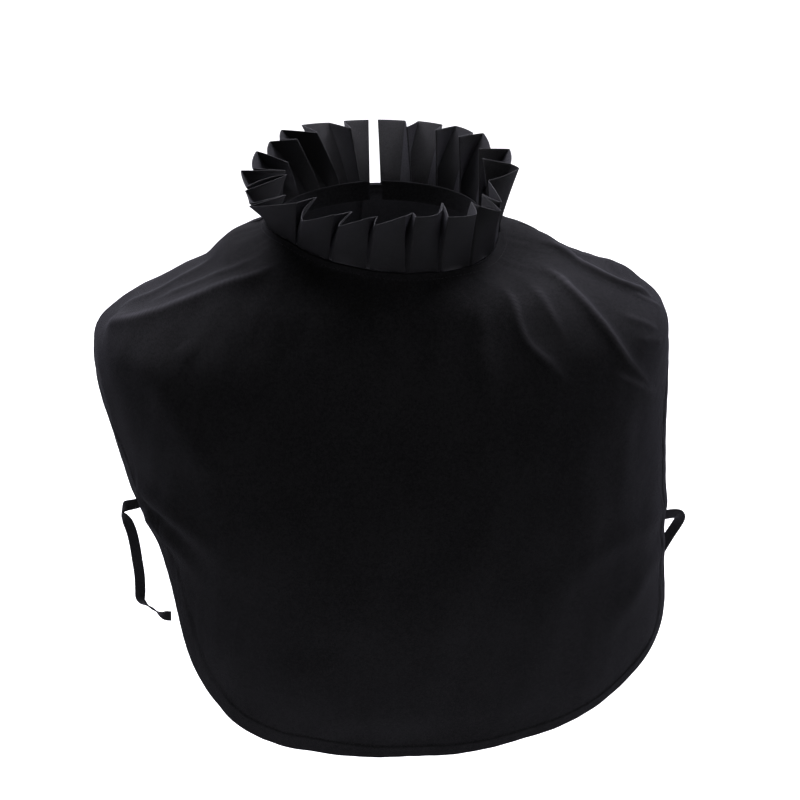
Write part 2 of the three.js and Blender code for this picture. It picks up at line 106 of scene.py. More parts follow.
# Middle lines of the ties and the bearing that the flat of the tape looks to
TIE_LEFT_ROWS = (
    (-163.8, -52.4, -170.5, 0), (-166.5, -53.9, -171, 0), (-169.5, -54, -171.5, -20),
    (-173.5, -53, -173, -70), (-175.5, -52.5, -176, -85), (-175.5, -54, -178.5, -70),
    (-173.5, -56, -181, -30), (-172, -57, -184, -8), (-170, -57.5, -191, -5), (-168.5, -58, -200.5, -5),
    (-167.5, -58, -211, -5), (-166.5, -58, -222.5, -5), (-166.5, -58.5, -233.5, -10),
    (-166.5, -59.5, -240, -35), (-163, -60.5, -243.5, -75), (-158, -61.5, -247, -85),
    (-152, -62.5, -251, -55), (-146.5, -63.5, -251.5, -10),
)
TIE_RIGHT_ROWS = (
    (186.2, -46.9, -197.5, 0), (190, -45, -198, -4), (194.5, -42.5, -199, -6),
    (198.5, -40, -201, -6), (200, -37.5, -205, -8), (198.5, -35, -211, -12), (195, -33, -219, -16),
    (191.5, -30.5, -228, -16), (187.5, -28.5, -238.5, -10), (184.5, -27.5, -249, 0),
    (183, -27, -261, 5), (182.5, -27, -273, 5), (182.5, -27.5, -284.5, 5), (183, -28, -295, 5),
)


def smooth(keys: Array, values: Array, at: Array | float) -> Array:
    """Smooth curve through points with rising keys.

    Args:
        keys: The rising keys.
        values: The value at each key.
        at: Where the curve is read; clamped to the first and last key.

    Returns:
        The curve's value at each place.
    """
    x = np.clip(at, keys[0], keys[-1])
    i = np.clip(np.searchsorted(keys, x, side="left") - 1, 0, len(keys) - 2)
    last = len(keys) - 1
    ahead = np.minimum(np.arange(len(keys)) + 1, last)
    behind = np.maximum(np.arange(len(keys)) - 1, 0)
    slope = (values[ahead] - values[behind]) / (keys[ahead] - keys[behind])
    step = keys[i + 1] - keys[i]
    t = (x - keys[i]) / step
    rise = (2 * t**3 - 3 * t**2 + 1) * values[i] + (3 * t**2 - 2 * t**3) * values[i + 1]
    return rise + step * ((t**3 - 2 * t**2 + t) * slope[i] + (t**3 - t**2) * slope[i + 1])


def ease(share: Array) -> Array:
    """Smooth rise from 0 to 1 while the share goes from 0 to 1."""
    t = np.clip(share, 0, 1)
    return t * t * (3 - 2 * t)


def bell(away: Array, wide: float) -> Array:
    """Bell curve of a distance: 1 at none, about a third at the given width."""
    return np.exp(-((away / wide) ** 2))


def unit(vectors: Array) -> Array:
    """Vectors of length one along the last axis."""
    return vectors / np.maximum(np.linalg.norm(vectors, axis=-1, keepdims=True), 1e-9)


def polar(bearing: Array, reach: Array, z: Array) -> Array:
    """Points at a bearing in degrees and a distance from the neck's axis."""
    angle = np.radians(bearing)
    x, y, height = np.broadcast_arrays(reach * np.sin(angle), -reach * np.cos(angle), z)
    return np.stack([x, y, height], axis=-1)


def oval_reach(bearing: Array, side: Array, ahead: Array, square: Array) -> Array:
    """Distance from the axis to an oval of the given half sizes and squareness."""
    angle = np.radians(bearing)
    across = (np.abs(np.sin(angle)) / side) ** square
    along = (np.abs(np.cos(angle)) / ahead) ** square
    return (across + along) ** (-1 / square)


class WornForm:
    """The surface on which the cloth lies, in millimetres."""

    def __init__(self) -> None:
        """Read the section and seam tables."""
        table = np.array(SECTION_ROWS, float)
        self.sections = {name: table[:, i] for i, name in enumerate(SECTION_COLUMNS)}
        self.seam_rows = np.array(SEAM_ROWS, float)

    def section(self, name: str, z: Array) -> Array:
        """Value of a section column at a height."""
        return smooth(self.sections["z"], self.sections[name], z)

    def point(self, bearing: Array, z: Array) -> Array:
        """Point of the surface at a bearing and height."""
        b = (np.asarray(bearing, float) + 180) % 360 - 180
        side = np.where(b < 0, self.section("left", z), self.section("right", z))
        front = np.abs(b) < 90
        ahead = np.where(front, self.section("front", z), self.section("back", z))
        square = np.where(front, self.section("square", z), self.section("square_back", z))
        return polar(b, oval_reach(b, side, ahead, square), z)

    def seam(self, bearing: Array, inset: Array | float = 0.0) -> Array:
        """Point of the neck seam, moved in towards the axis by the inset."""
        b = (np.asarray(bearing, float) + 180) % 360 - 180
        reach = oval_reach(b, SEAM_SIDE, SEAM_AHEAD, 2.0) - inset
        return polar(b, reach, smooth(self.seam_rows[:, 0], self.seam_rows[:, 1], b))


def walk(points: Array) -> Array:
    """Distance along a line of points, from its first one."""
    steps = np.linalg.norm(np.diff(points, axis=0), axis=-1)
    return np.concatenate([[0.0], np.cumsum(steps)])


def grid_normals(grid: Array) -> Array:
    """Outward normals of a grid of points, rows running down and columns to the right."""
    down = np.gradient(grid, axis=0)
    across = np.gradient(grid, axis=1)
    return unit(-np.cross(across, down))


def line_distance(points: Array, line: Array) -> tuple[Array, Array]:
    """Distance of points to a line of points, and how far along it the nearest place is.

    Args:
        points: Points in any array shape, with x, y and z last.
        line: The line's points, one to a row.

    Returns:
        The distance of each point, and the share of the line's length passed, from 0 to 1.
    """
    best = np.full(points.shape[:-1], np.inf)
    share = np.zeros(points.shape[:-1])
    passed = walk(line)
    for a, b, start in zip(line[:-1], line[1:], passed[:-1]):
        run = b - a
        length = float(np.linalg.norm(run))
        t = np.clip(((points - a) @ run) / (length * length + 1e-12), 0, 1)
        away = np.linalg.norm(points - (a + t[..., None] * run), axis=-1)
        nearer = away < best
        best = np.where(nearer, away, best)
        share = np.where(nearer, (start + t * length) / passed[-1], share)
    return best, share


class FoldShape(Enum):
    """How a fold rises from the cloth."""

    SOFT = "soft"
    CRISP = "crisp"


# Points of a crest from place to place, the share of the width that a sharp top is rounded by,
# the share of the height left at the ends, and the fold height that gets the full painted highlight on
# its crest and that highlight's width
FOLD_STEPS = 7
ROUND_SHARE = 0.18
END_SHARE = 0.12
PAINTED_HIGHLIGHT_HIGH = 4.2
PAINTED_HIGHLIGHT_WIDE = 1.5


@dataclass(frozen=True)
class Fold:
    """A fold that runs through some places on the worn form.

    Each place is a bearing and a height. Wide is the distance at which the fold has died away to
    a third, high is its height in the middle, below zero for a hollow. The fade is the share of
    its length over which it rises at its start and dies away at its end.
    """

    path: tuple[tuple[float, float], ...]
    wide: float
    high: float
    shape: FoldShape = FoldShape.SOFT
    fade: tuple[float, float] = (0.25, 0.3)

    def line(self, form: WornForm) -> Array:
        """Points along the fold's crest."""
        places = np.array(self.path, float)
        keys = np.arange(len(places), dtype=float)
        at = np.linspace(0, keys[-1], FOLD_STEPS * (len(places) - 1) + 1)
        bearing, z = (smooth(keys, places[:, i], at) for i in range(2))
        return form.point(bearing, z)

    def rise(self, points: Array, form: WornForm) -> tuple[Array, Array]:
        """Height of the fold at each point, and the share of painted highlight on its sharp top there,
        from 0 to 1.
        """
        away, share = line_distance(points, self.line(form))
        risen = ease(share / self.fade[0]) * ease((1 - share) / self.fade[1])
        if self.shape is FoldShape.SOFT:
            cross, painted_highlight = bell(away, self.wide), np.zeros(away.shape)
        else:
            round_top = ROUND_SHARE * self.wide
            cross = np.exp(-(np.hypot(away, round_top) - round_top) / self.wide)
            # Painted highlight along the sharp top, standing in for light caught on a taut crest; fuller
            # on higher folds
            painted_highlight = min(self.high / PAINTED_HIGHLIGHT_HIGH, 1.0) * bell(away, PAINTED_HIGHLIGHT_WIDE) * risen
        return self.high * cross * (END_SHARE + (1 - END_SHARE) * risen), painted_highlight

    def flipped(self) -> Fold:
        """The same fold on the other side."""
        return replace(self, path=tuple((-bearing, z) for bearing, z in self.path))


SOFT, CRISP = FoldShape.SOFT, FoldShape.CRISP
LEFT_FOLDS = (
    Fold(
        ((-55, -3), (-60, -15), (-65, -22), (-69.5, -32.4), (-72.5, -40), (-81, -56)),
        10, 6.0, CRISP, (0.2, 0.1),
    ),
    Fold(((-64, -2.7), (-68.3, -13), (-73.4, -22.2), (-78, -38.7)), 3.4, 1.6, CRISP),
    Fold(((-84, -12), (-82.2, -26), (-82.5, -37), (-85.3, -51)), 4, 1.8, CRISP),
    Fold(((-77, -44), (-79, -50), (-82.5, -58)), 3, 0.9, CRISP),
    Fold(((-70, -63), (-62.4, -69), (-56.5, -91), (-52, -116), (-48, -145)), 12, 2.4),
    Fold(((-61, -49), (-56.7, -56)), 7, 0.8),
    Fold(((-79.7, -65), (-76, -84), (-74, -119), (-74, -155)), 7, 1.2),
    Fold(((-71, -153), (-62.5, -160), (-53, -174), (-45, -195)), 9, 2.6, SOFT, (0.1, 0.5)),
    Fold(((-70, -162), (-60, -172), (-52, -190)), 5, -1.5, SOFT, (0.1, 0.5)),
    Fold(((-69, -172), (-60, -187), (-53.7, -208)), 6.5, 2.4, SOFT, (0.1, 0.5)),
)
RIGHT_FOLDS = (
    Fold(((80, 0), (86.7, -14), (89, -28), (90, -48)), 5, 0.9, CRISP),
    Fold(((86, -30), (92, -44)), 11, 1.8),
    Fold(
        ((79, 2), (82, -4), (84.5, -10), (83, -19), (79.6, -26.6), (78.5, -35), (82.5, -47.5)),
        3.0, 4.6, CRISP, (0.1, 0.12),
    ),
    Fold(
        ((68.7, -1), (70.1, -8.1), (70.5, -15), (68.6, -22.6), (65.5, -30), (63, -45),
         (62.9, -66), (68.2, -92.8)),
        3.2, 4.2, CRISP, (0.08, 0.45),
    ),
    Fold(((61, -6), (59.9, -19.6), (56.5, -29.4), (54.5, -40), (53, -56)), 3.8, 2.2, CRISP, (0.1, 0.4)),
    Fold(
        ((53, -11), (49.7, -23.6), (46, -37.8), (45.3, -51), (47.9, -63), (50.8, -78)),
        4.4, 2.8, CRISP, (0.1, 0.35),
    ),
    Fold(((37, -24), (34, -41), (31.8, -57.7), (30.8, -84)), 7, 2.2),
    Fold(((68.5, -44), (71, -51), (74, -60)), 3, 1.2, CRISP),
    Fold(((77.5, -40), (79, -46.7), (82, -54)), 2.6, 1.1, CRISP),
    Fold(((67, -57), (70, -61), (74, -67)), 2.6, 0.9, CRISP),
    Fold(((59, -72), (64, -84), (69.5, -98)), 3.5, 1.6, CRISP),
    Fold(((50, -90), (49.4, -140), (50, -198)), 14, 1.4),
    Fold(((61, -85), (60, -150), (58.8, -207)), 11, 1.2),
    Fold(((78, -185), (66, -190), (53.4, -197), (44, -217)), 10, 2.0, SOFT, (0.1, 0.5)),
    Fold(((76, -212), (66, -230), (55, -264)), 9, 1.6, SOFT, (0.1, 0.5)),
)
MIDDLE_FOLDS = (
    Fold(((-16, -11), (-7.7, -32), (0.2, -50), (8, -67)), 8, 1.6),
    Fold(((37, -18), (24, -37), (15, -56), (9, -68)), 8, 1.6),
    Fold(((-30, -10), (-24, -60), (-18, -120)), 12, 1.5),
    Fold(((-28, -250), (-21, -291), (-15, -328)), 24, 1.6),
    Fold(((34, -190), (40, -250), (42, -325)), 24, 1.6),
    Fold(((-10, -190), (0, -250), (4, -330)), 42, 3.0, SOFT, (0.4, 0.2)),
)
FRONT_FOLDS = LEFT_FOLDS + MIDDLE_FOLDS + RIGHT_FOLDS

# Distance of the front hem's stitches from the edge, after their bearing
FRONT_HEM = ((-85.0, 11.5), (-55.0, 14.0), (-30.0, 14.0), (-8.0, 11.0), (30.0, 9.5), (85.0, 9.0))

BACK_FOLDS = (
    Fold(((106, -6), (112, -50), (122, -120)), 12, 2.4),
    Fold(((128, 0), (134, -60), (142, -150)), 14, 2.6),
    Fold(((150, 0), (152, -70), (154, -180)), 16, 2.0),
    Fold(((112, -20), (122, -60), (138, -110)), 8, -1.2),
)


@dataclass
class Panel:
    """A cloth panel that hangs from the neck seam to a curved, hemmed edge.

    Sizes are in millimetres. The grid's rows run from the seam to the edge and lie closer
    together under the seam and at the hem, where the detail is. A hem row is a bearing and the
    distance from the edge to the stitches there. The hem's ripple has a height and a reach from
    its stitches; the neck's gather has these two and the share of it above its stitches.
    """

    form: WornForm
    edge: tuple[Triple, ...]
    folds: tuple[Fold, ...]
    columns: int
    middle_rows: int
    mirror: bool = False
    step_in: Triple = (0.0, 0.0, 0.0)
    seed: int = 3
    crowd: float = 0.0
    cloth: float = 0.9
    hem: float = 1.9
    hem_width: float = 10.6
    hem_rows: tuple[tuple[float, float], ...] = ((-180.0, 10.6), (180.0, 10.6))
    seam_row: float = 4.1
    band_rise: float = 0.6
    band_step: float = 0.7
    neck_blend: float = 9.0
    fold_start: float = 14.0
    seam_zone: float = 9.0
    hem_zone: float = 18.0
    zone_step: float = 0.75
    middle_crowd: float = 1.25
    hem_waves: tuple[float, ...] = (11.0, 15.0, 23.0, 37.0)
    hem_ripple: tuple[float, float] = (0.11, 6.0)
    neck_waves: tuple[float, ...] = (6.5, 9.0, 14.0)
    neck_gather: Triple = (0.06, 12.0, 0.35)
    slack_waves: tuple[float, ...] = (60.0, 34.0, 21.0, 13.0, 8.5)
    slack_share: float = 0.006
    hem_step: float = 0.4
    seam_step: float = 0.5
    seam_share: float = 0.8
    dent_wide: float = 0.8
    dent_deep: float = 0.55
    grid: Array = field(init=False)
    thickness: Array = field(init=False)
    edge_away: Array = field(init=False)
    drop: Array = field(init=False)
    # Share of painted highlight at each point, along the sharp crests
    painted_highlight_mask: Array = field(init=False)

    def __post_init__(self) -> None:
        """Work out the panel's middle surface and its thickness."""
        ends = self.edge_walk()
        top = self.form.seam(ends[:, 2])
        low = self.form.point(ends[:, 0], ends[:, 1])
        length = np.linalg.norm(low - top, axis=-1)
        share = self.row_shares(length)
        bearing = ends[:, 2] + (ends[:, 0] - ends[:, 2]) * share
        z = top[:, 2] + (ends[:, 1] - top[:, 2]) * share
        self.drop = share * length
        surface = self.form.point(bearing, z)
        neck = self.form.seam(bearing)
        neck[..., 2] = z
        surface = surface + (neck - surface) * bell(self.drop, self.neck_blend)[..., None]
        self.edge_away = line_distance(surface, surface[-1])[0]
        hems = np.array(self.hem_rows, float)
        self.edge_away *= self.hem_width / np.interp(ends[:, 0], hems[:, 0], hems[:, 1])
        lift = self.lift(surface, bearing)
        self.grid = surface + grid_normals(surface) * lift[..., None]
        self.thickness = self.wall()

    def edge_walk(self) -> Array:
        """Rows of bearing, height and neck bearing at even steps along the edge."""
        table = np.array(self.edge, float)
        if self.mirror:
            table[:, [0, 2]] *= -1
            table = table[::-1]
        passed = walk(self.form.point(table[:, 0], table[:, 1]))
        even = np.linspace(0, 1, self.columns + 1)
        crowded = even - self.crowd / (2 * math.pi) * np.sin(2 * math.pi * even)
        at = crowded * passed[-1]
        return np.stack([smooth(passed, table[:, i], at) for i in range(3)], axis=-1)

    def row_shares(self, length: Array) -> Array:
        """Share of the drop at each row and column, from 0 at the seam to 1 at the edge."""
        under = np.arange(0, self.seam_zone, self.zone_step)
        over = self.hem_zone - np.arange(0, self.hem_zone + self.zone_step / 2, self.zone_step)
        blend = np.linspace(0, 1, self.middle_rows + 2)[1:-1, None] ** self.middle_crowd
        start = self.seam_zone / length
        stop = 1 - self.hem_zone / length
        middle = start + (stop - start) * blend
        return np.concatenate([under[:, None] / length, middle, 1 - over[:, None] / length])

    def lift(self, surface: Array, bearing: Array) -> Array:
        """How far each point stands off the worn form; notes the painted highlight on sharp crests on the
        way.
        """
        rise = np.zeros(surface.shape[:-1])
        self.painted_highlight_mask = np.zeros(surface.shape[:-1])
        for fold in self.folds:
            high, painted_highlight = (fold.flipped() if self.mirror else fold).rise(surface, self.form)
            rise += high
            self.painted_highlight_mask = np.maximum(self.painted_highlight_mask, painted_highlight)
        rise *= ease((self.drop - self.seam_row) / self.fold_start)
        rise += self.puckers(surface)
        rise += self.band_rise * self.step_down(self.drop - self.seam_row - self.band_step)
        low, full, depth = self.step_in
        if depth:
            rise -= depth * ease((np.abs(bearing) - low) / (full - low))
        return rise

    def ripples(self, rng: np.random.Generator, line: Array, waves: tuple[float, ...]) -> Array:
        """Sum of waves along a line of points, each of random phase and height."""
        along = walk(line)[None, :]
        total = np.zeros(self.drop.shape)
        for wave in waves:
            phase = rng.uniform(0, 2 * math.pi)
            total += rng.uniform(0.5, 1.0) * np.sin(2 * math.pi * along / wave + phase)
        return total

    def puckers(self, surface: Array) -> Array:
        """Small ripples along the hem's stitching and under the neck seam, and slack between."""
        rng = np.random.default_rng(self.seed)
        ripple = self.ripples(rng, surface[-1], self.hem_waves)
        gather = self.ripples(rng, surface[0], self.neck_waves)
        high, reach = self.hem_ripple
        hem = high * ripple * bell(self.edge_away - self.hem_width, reach)
        high, reach, above = self.neck_gather
        under = self.drop - self.seam_row
        neck = high * gather * np.where(under > 0, bell(under, reach), above)
        slack = np.zeros(self.drop.shape)
        for size in self.slack_waves:
            turn = rng.normal(size=3)
            turn /= np.linalg.norm(turn)
            phase = rng.uniform(0, 2 * math.pi)
            slack += self.slack_share * size * np.sin(2 * math.pi * (surface @ turn) / size + phase)
        return hem + neck + slack

    def wall(self) -> Array:
        """Thickness of the cloth: doubled at the hem, pressed in along both rows of stitches."""
        to_hem = self.edge_away - self.hem_width
        to_seam = self.drop - self.seam_row
        turned = self.step_down(to_hem - self.hem_step)
        seam = self.step_down(to_seam - self.seam_step)
        wall = self.cloth + (self.hem - self.cloth) * np.maximum(turned, self.seam_share * seam)
        dent = bell(to_hem, self.dent_wide) + bell(to_seam, self.dent_wide)
        return wall * (1 - self.dent_deep * np.clip(dent, 0, 1))

    @staticmethod
    def step_down(past: Array, soft: float = 0.28) -> Array:
        """A soft step from one down to nothing where the distance passes zero."""
        return 1 / (1 + np.exp(np.clip(past / soft, -50, 50)))

    def sewn_lines(self) -> list[tuple[Array, Array]]:
        """The hem's and the neck's rows of stitches on the outer face, with outward normals."""
        half = len(self.grid) // 2
        return [
            self.trace(-self.edge_away, -self.hem_width, slice(half, None)),
            self.trace(self.drop, self.seam_row, slice(0, half)),
        ]

    def trace(self, rising: Array, level: float, part: slice) -> tuple[Array, Array]:
        """Line on the outer face where a measure that rises down the rows takes one level."""
        normals = grid_normals(self.grid)
        outer = self.grid + normals * self.thickness[..., None] / 2
        rows = np.arange(len(rising))[part]
        points, facings = [], []
        for j in range(rising.shape[1]):
            row = float(np.interp(level, rising[part, j], rows))
            i = min(int(row), len(rising) - 2)
            t = row - i
            points.append(outer[i, j] * (1 - t) + outer[i + 1, j] * t)
            facings.append(normals[i, j] * (1 - t) + normals[i + 1, j] * t)
        return np.array(points), unit(np.array(facings))


# Angles, in degrees, of the rows that round over a sheet's edge
RIM_TURNS = (50, 18, -18, -50)


class MeshKit:
    """Makes objects from points and faces given in millimetres."""

    @staticmethod
    def make(name: str, points: Array, faces: list[Face], uv: Array) -> Piece:
        """A smooth-shaded object with a UV map in metres.

        Args:
            name: The object's name.
            points: Points in millimetres, one to a row.
            faces: Corner lists, turned outwards.
            uv: Flat cloth coordinates of each point in millimetres.

        Returns:
            The new object, linked to the scene.
        """
        mesh = bpy.data.meshes.new(name)
        mesh.from_pydata((points * MM).tolist(), [], faces)
        layer = mesh.uv_layers.new(name="cloth")
        corners = np.zeros(len(mesh.loops), np.int32)
        mesh.loops.foreach_get("vertex_index", corners)
        layer.data.foreach_set("uv", (uv[corners] * MM).astype(np.float32).ravel())
        mesh.polygons.foreach_set("use_smooth", np.ones(len(mesh.polygons), bool))
        mesh.validate()
        mesh.update()
        piece = bpy.data.objects.new(name, mesh)
        bpy.context.scene.collection.objects.link(piece)
        return piece

    @staticmethod
    def rim(middle: Array, normals: Array, half: Array, row: int, before: int) -> list[Array]:
        """Rounded rows over one edge of a sheet, from its outer face to its inner one."""
        reach, normal = half[row], normals[row]
        away = unit(middle[row] - middle[before])
        away = unit(away - (away * normal).sum(-1, keepdims=True) * normal)
        return [
            middle[row] - away * reach + (normal * math.sin(turn) + away * math.cos(turn)) * reach
            for turn in np.radians(RIM_TURNS)
        ]

    @staticmethod
    def sheet(name: str, middle: Array, thick: Array, flat: Array, hemmed: bool = True) -> Piece:
        """Closed cloth wall round a grid of middle points, with its last row rounded over.

        Args:
            name: The object's name.
            middle: Grid of middle points, rows running down to the free edge.
            thick: Thickness at each point.
            flat: Flat coordinates at each point.
            hemmed: Round the first row over as well.

        Returns:
            The new object.
        """
        normals = grid_normals(middle)
        half = thick[..., None] / 2
        outer = middle + normals * half
        inner = middle - normals * half
        shrink = unit(middle[-1] - middle[-2]) * half[-1]
        outer[-1] -= shrink
        inner[-1] -= shrink
        low = MeshKit.rim(middle, normals, half, -1, -2)
        rows = list(outer) + low + list(inner[::-1])
        uv_rows = list(flat) + [flat[-1]] * len(low) + list(flat[::-1])
        if hemmed:
            lead = unit(middle[0] - middle[1]) * half[0]
            rows[0] = rows[0] - lead
            rows[-1] = rows[-1] - lead
            high = MeshKit.rim(middle, normals, half, 0, 1)[::-1]
            rows += high
            uv_rows += [flat[0]] * len(high)
        ring = np.array(rows)
        count, columns = ring.shape[:2]
        last = len(middle) - 1
        turned = last + len(low) + 1
        faces: list[Face] = []
        for i in range(count):
            a, b = i * columns, (i + 1) % count * columns
            faces += [(a + j, b + j, b + j + 1, a + j + 1) for j in range(columns - 1)]
        ends = [(i, turned + last - i, turned + last - i - 1, i + 1) for i in range(last)]
        ends.append(tuple(range(turned, last - 1, -1)))
        if hemmed:
            ends.append((0, *range(count - 1, turned + last - 1, -1)))
        for end in ends:
            faces.append(tuple(row * columns for row in end))
            faces.append(tuple(row * columns + columns - 1 for row in end[::-1]))
        uv = np.array(uv_rows).reshape(-1, 2)
        piece = MeshKit.make(name, ring.reshape(-1, 3), faces, uv)
        MeshKit.outward(piece)
        return piece

    @staticmethod
    def mark(piece: Piece, name: str, values: Array) -> None:
        """Write values on a sheet's outer face as an attribute; its other points keep 0."""
        every = np.zeros(len(piece.data.vertices), np.float32)
        every[: values.size] = values.ravel()
        piece.data.attributes.new(name, "FLOAT", "POINT").data.foreach_set("value", every)

    @staticmethod
    def outward(piece: Piece) -> None:
        """Turn a closed piece's faces outwards by the sign of its volume."""
        mesh = bmesh.new()
        mesh.from_mesh(piece.data)
        if mesh.calc_volume(signed=True) < 0:
            bmesh.ops.reverse_faces(mesh, faces=mesh.faces)
            mesh.to_mesh(piece.data)
        mesh.free()


def flat_map(grid: Array) -> Array:
    """Flat cloth coordinates of a panel: level distance from the centre, and distance down."""
    down = np.zeros(grid.shape[:2])
    down[1:] = np.cumsum(np.linalg.norm(np.diff(grid, axis=0), axis=-1), axis=0)
    bearing = np.unwrap(np.arctan2(grid[..., 0], -grid[..., 1]), axis=1)
    reach = np.hypot(grid[..., 0], grid[..., 1])
    return np.stack([bearing * reach, -down], axis=-1)


def read_line(passed: Array, line: Array, at: Array) -> Array:
    """Points of a line at distances from its start."""
    return np.stack([np.interp(at, passed, line[:, i]) for i in range(3)], axis=-1)


@dataclass
class Stitches:
    """A row of short thread lengths lying in the cloth, in millimetres."""

    pitch: float = 2.7
    length: float = 2.25
    radius: float = 0.19
    sink: float = 0.02
    droop: float = 1.2
    look: float = 0.5
    sides: int = 6
    rings: int = 5

    def thread(self) -> tuple[Array, list[Face]]:
        """One stitch along +X: a slim bead of thread with drawn-in ends."""
        bpy.ops.object.select_all(action="DESELECT")
        bpy.ops.mesh.primitive_uv_sphere_add(segments=self.sides, ring_count=self.rings, radius=1.0)
        bead = bpy.context.object
        bpy.ops.transform.resize(value=(self.radius, self.radius, self.length / 2))
        bpy.ops.transform.rotate(value=math.pi / 2, orient_axis="Y", center_override=(0, 0, 0))
        bpy.ops.object.transform_apply(location=True, rotation=True, scale=True)
        mesh = bead.data
        points = np.array([v.co[:] for v in mesh.vertices])
        ends = np.abs(points[:, 0]) / (self.length / 2)
        points[:, 2] -= self.radius * self.droop * ends**4
        faces = [tuple(p.vertices) for p in mesh.polygons]
        bpy.data.objects.remove(bead)
        bpy.data.meshes.remove(mesh)
        return points, faces

    def sew(self, name: str, runs: list[tuple[Array, Array]]) -> Piece:
        """Rows of stitches along lines on the cloth, as one piece.

        Args:
            name: The piece's name.
            runs: A line's points and its outward normals, for each row.

        Returns:
            The piece.
        """
        bead, bead_faces = self.thread()
        clouds = []
        for line, normals in runs:
            passed = walk(line)
            count = max(int(passed[-1] // self.pitch), 1)
            at = (np.arange(count) + 0.5) * passed[-1] / count
            spots, behind, ahead = (read_line(passed, line, at + s) for s in (0, -self.look, self.look))
            up = unit(read_line(passed, normals, at))
            along = unit(ahead - behind)
            side = unit(np.cross(up, along))
            axes = np.stack([along, side, np.cross(along, side)], axis=1)
            clouds.append(bead @ axes + (spots + up * self.sink)[:, None])
        cloud = np.concatenate(clouds).reshape(-1, 3)
        starts = range(0, len(cloud), len(bead))
        faces = [tuple(start + i for i in face) for start in starts for face in bead_faces]
        piece = MeshKit.make(name, cloud, faces, cloud[:, :2])
        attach(piece, BODY)
        return piece


@dataclass(frozen=True)
class Pleat:
    """One pleat of the ruffle, opened out at its free edge.

    The seam holds the bearings at which its face begins and ends below. The corners of the face
    and the inner fold after it are places on the free edge: bearing, distance from the neck's
    axis and height. The bows are how far the face, the wall behind its right corner and the wall
    on to the next pleat swell out of line.
    """

    seam: tuple[float, float]
    left: Triple
    right: Triple
    inner: Triple
    bows: Triple = (0.6, 0.3, 0.3)


PLEATS = (
    Pleat((-177.5, -165.5), (-178, 88, 42), (-168, 92, 41), (-166, 68, 44)),
    Pleat((-165.5, -153), (-161, 92, 41), (-149, 94, 42), (-146, 70, 44), (1.2, -0.8, 0.6)),
    Pleat((-153, -139), (-137, 91.5, 43.5), (-131, 85, 41), (-131, 70, 44), (0.8, 0.4, 0.2)),
    Pleat((-139, -122.5), (-125, 86.5, 41.5), (-114, 80, 39), (-106, 62.5, 38), (1.0, 0.5, 1.2)),
    Pleat((-122.5, -105.5), (-112, 86.5, 41), (-90, 83.5, 41), (-86.5, 62.5, 40), (1.6, 0.3, 0)),
    Pleat((-105.5, -89), (-89, 91, 40), (-75.5, 91, 36.5), (-77, 63.5, 41), (0.8, -5, -0.8)),
    Pleat((-89, -72.5), (-73.8, 92.6, 35), (-62, 98, 34), (-61, 72.5, 35), (-0.5, 0.6, 0)),
    Pleat((-72.5, -53), (-60.8, 99.5, 33), (-43.2, 85.5, 39.5), (-42, 66.5, 38), (2.4, -0.5, 5)),
    Pleat((-53, -32.7), (-36.5, 91, 31.6), (-25.5, 82.6, 35.6), (-20.7, 65, 32.3), (1.4, 0.8, 1.5)),
    Pleat((-32.7, -11.7), (-21.5, 88, 31), (-10.1, 78, 33.8), (-6.4, 71.5, 32.4), (0.4, 0, 0.6)),
    Pleat((-11.7, 9.5), (-6.9, 83.4, 31.3), (7.2, 70.5, 31.8), (14, 62, 30), (0.8, 0.5, -0.8)),
    Pleat((9.5, 28), (12.9, 72.8, 31.4), (30, 66.3, 30), (37, 58, 31), (5.5, 0.6, -0.6)),
    Pleat((28, 48.4), (29, 76.6, 29.2), (43.7, 80, 27.2), (54, 67, 28.5), (2.2, 1.2, 0.5)),
    Pleat((48.4, 69.5), (51.5, 74.5, 28.2), (57.2, 86, 24.5), (70, 67, 27.5), (1.5, 0.6, 1)),
    Pleat((69.5, 84), (61.5, 83, 28), (66.3, 80.1, 27.2), (83, 69, 31.3), (0.6, 0.4, 2.5)),
    Pleat((84, 100), (92, 89.8, 35), (95.5, 86.5, 35.8), (103, 69, 38), (0.6, 0.5, 0.6)),
    Pleat((100, 116), (99, 86.6, 34.5), (113.5, 95.5, 36), (115, 73, 39.5), (1.2, 0.6, 0.4)),
    Pleat((116, 132), (117, 84, 37.5), (129, 93, 40.5), (130, 71, 43), (1.0, 0.4, 0.6)),
    Pleat((132, 148), (132, 88, 41), (143, 92, 41), (145, 70, 44), (1.4, 0.5, 0.3)),
    Pleat((148, 164), (149, 90, 41), (160, 91, 41), (162, 69, 44), (0.9, -0.6, 0.5)),
    Pleat((164, 177.5), (166, 90, 41), (177.5, 88, 42), (178, 80, 43)),
)


